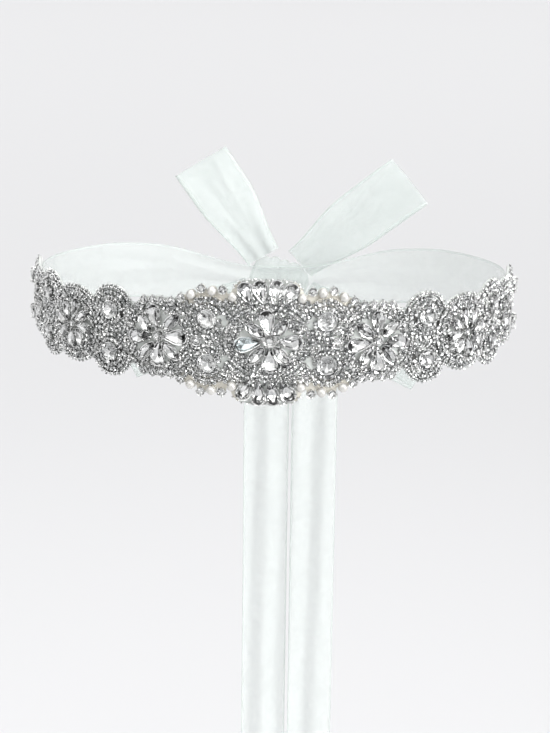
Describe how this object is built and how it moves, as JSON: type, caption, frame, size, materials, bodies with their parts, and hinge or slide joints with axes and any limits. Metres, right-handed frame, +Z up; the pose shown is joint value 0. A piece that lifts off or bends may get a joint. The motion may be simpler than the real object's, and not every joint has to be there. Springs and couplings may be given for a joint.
{
  "type": "bridal sash, a rhinestone and pearl applique on an organza ribbon tied behind in a bow",
  "caption": "Worn bridal sash: a long curved rhinestone and pearl applique on a sheer organza ribbon, tied at the back in a looped bow with long tails.",
  "frame": {"origin": "centre of the waist loop at half the ribbon's height at the front, where the wearer's waist holds the sash", "axes": "+Z up, with the tails hanging along -Z; -Y to the front, where the applique is; +Y to the back, where the bow is; +X to the right as seen from in front"},
  "size_m": [0.2632, 0.2137, 0.5897],
  "materials": {
    "rhinestones": "foil-backed clear glass stones",
    "settings": "polished silver colour",
    "pearls": "ivory pearl",
    "backing": "white satin backing",
    "organza": "sheer white organza"
  },
  "bodies": {
    "root": {"applique": "rhinestones", "band_front": "organza", "band_left": "organza", "band_right": "organza", "knot": "organza", "bow_loop_upper_left": "organza", "bow_loop_upper_right": "organza", "bow_loop_lower_left": "organza", "bow_loop_lower_right": "organza", "tail_left": "organza", "tail_right": "organza"}
  },
  "joints": []
}
